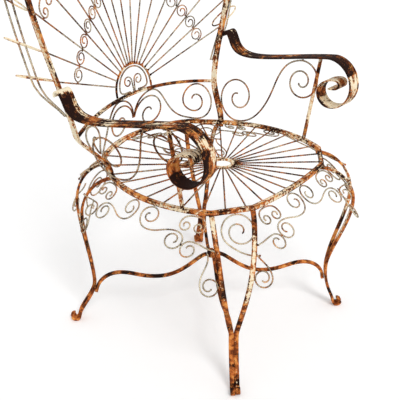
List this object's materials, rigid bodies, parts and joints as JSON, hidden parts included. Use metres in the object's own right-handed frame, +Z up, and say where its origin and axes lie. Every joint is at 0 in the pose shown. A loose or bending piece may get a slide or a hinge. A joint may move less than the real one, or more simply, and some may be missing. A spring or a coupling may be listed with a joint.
{
  "type": "armchair",
  "caption": "Wrought iron garden armchair with a fan-shaped back, scrolled arms, cabriole legs and hanging scrollwork below a seat of radiating wires",
  "frame": {"origin": "on the floor below the middle of the whole chair, halfway along its overall width and depth", "axes": "+Z up, the chair faces -Y, +X is the sitter's left"},
  "size_m": [0.8068, 0.66, 1.24],
  "materials": {
    "worn_paint": "cream paint worn through to rust",
    "rusted_iron": "rusted wrought iron with remains of cream paint"
  },
  "bodies": {
    "root": {"seat_rim": "rusted_iron", "seat_hub": "worn_paint", "seat_wires": "rusted_iron", "leg_front_left": "worn_paint", "leg_front_right": "worn_paint", "leg_back_left": "worn_paint", "leg_back_right": "worn_paint", "stretcher_disc": "rusted_iron", "stretchers": "rusted_iron", "apron_front": "rusted_iron", "apron_back": "rusted_iron", "apron_left": "rusted_iron", "apron_right": "rusted_iron", "corner_front_left": "rusted_iron", "corner_front_right": "rusted_iron", "corner_back_left": "rusted_iron", "corner_back_right": "rusted_iron", "arm_left": "worn_paint", "arm_right": "worn_paint", "arm_post_left": "rusted_iron", "arm_post_right": "rusted_iron", "side_scroll_left": "rusted_iron", "side_scroll_right": "rusted_iron", "hoop": "rusted_iron", "back_rail": "rusted_iron", "arch": "rusted_iron", "arch_curls": "rusted_iron", "fan": "rusted_iron", "garland": "rusted_iron", "curl_row": "rusted_iron", "outer_wire_front": "rusted_iron", "outer_wire_back": "rusted_iron", "rings": "rusted_iron", "lower_scroll_left": "rusted_iron", "lower_scroll_right": "rusted_iron"}
  },
  "joints": []
}
